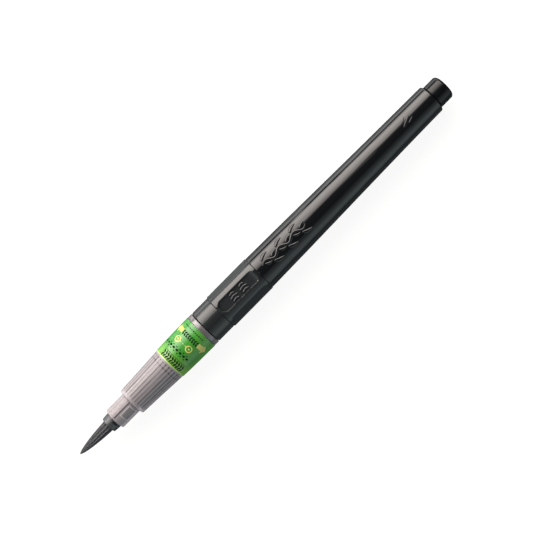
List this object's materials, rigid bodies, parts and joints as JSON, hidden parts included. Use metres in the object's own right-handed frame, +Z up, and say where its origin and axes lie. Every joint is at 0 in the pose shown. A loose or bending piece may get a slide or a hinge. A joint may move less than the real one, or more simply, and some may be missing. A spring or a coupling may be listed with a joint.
{
  "type": "brush pen",
  "caption": "Refillable brush pen with a bristle tip, a clear finned-feed grip that unscrews, a printed band, a spacer ring and a long tapered black barrel; no cap.",
  "frame": {"origin": "on the surface that the pen lies on, under the middle of its length", "axes": "+X along the pen from the brush tip to the tail, +Z up out of the thumb recess"},
  "size_m": [0.1556, 0.012, 0.0118],
  "materials": {
    "bristles": "fine nylon bristles, dyed by the ink",
    "ferrule_plastic": "moulded, satin gloss",
    "clear_smoke": "clear moulding with a faint pink-grey tint",
    "label_film": "printed film, glossy",
    "feed_plastic": "moulded, dulled by ink",
    "seal_rubber": "matt",
    "ink_fibre": "bonded fibres soaked with ink",
    "cartridge_plastic": "milky translucent",
    "ball_steel": "polished",
    "ink": "liquid black",
    "barrel_black": "moulded, high gloss"
  },
  "bodies": {
    "barrel": {"barrel": "barrel_black", "tail_plug": "barrel_black"},
    "spacer_ring": {"spacer_ring": "clear_smoke"},
    "front_section": {"front_shell": "clear_smoke", "instruction_label": "label_film", "section_connector": "clear_smoke", "brush_ferrule": "ferrule_plastic", "tuft_root": "bristles", "tuft_root_disc": "bristles", "ink_relay": "ink_fibre", "feed_comb": "feed_plastic", "feed_carrier": "feed_plastic", "feed_seal": "seal_rubber", "feed_wick": "ink_fibre", "cartridge_spike": "ferrule_plastic"},
    "tuft": {"brush_tuft": "bristles"},
    "cartridge": {"cartridge_tube": "cartridge_plastic", "cartridge_neck": "cartridge_plastic", "ink_charge": "ink"},
    "stopper": {"stopper_ball": "ball_steel"}
  },
  "joints": [
    {"name": "thread_travel", "type": "slide", "parent": "barrel", "child": "spacer_ring", "axis": [-1, 0, 0], "range_m": [0, 0.007]},
    {"name": "thread_turn", "type": "hinge", "parent": "spacer_ring", "child": "front_section", "pos_m": [-0.0198, 0, 0.00588], "axis": [-1, 0, 0], "range_deg": [0, 1260.5]},
    {"name": "tuft_bend", "type": "hinge", "parent": "front_section", "child": "tuft", "pos_m": [-0.0652, 0, 0.00588], "axis": [0, 1, 0], "range_deg": [-20, 20], "stiffness_Nm_per_rad": 0.0004},
    {"name": "cartridge_push", "type": "slide", "parent": "barrel", "child": "cartridge", "axis": [-1, 0, 0], "range_m": [0, 0.0015]},
    {"name": "stopper_release", "type": "slide", "parent": "cartridge", "child": "stopper", "axis": [1, 0, 0], "range_m": [0, 0.00155]}
  ],
  "couplings": [
    {"joint": "thread_turn", "follows": "thread_travel", "rad_per_m": 3141.6},
    {"joint": "stopper_release", "follows": "cartridge_push", "ratio": 1}
  ]
}
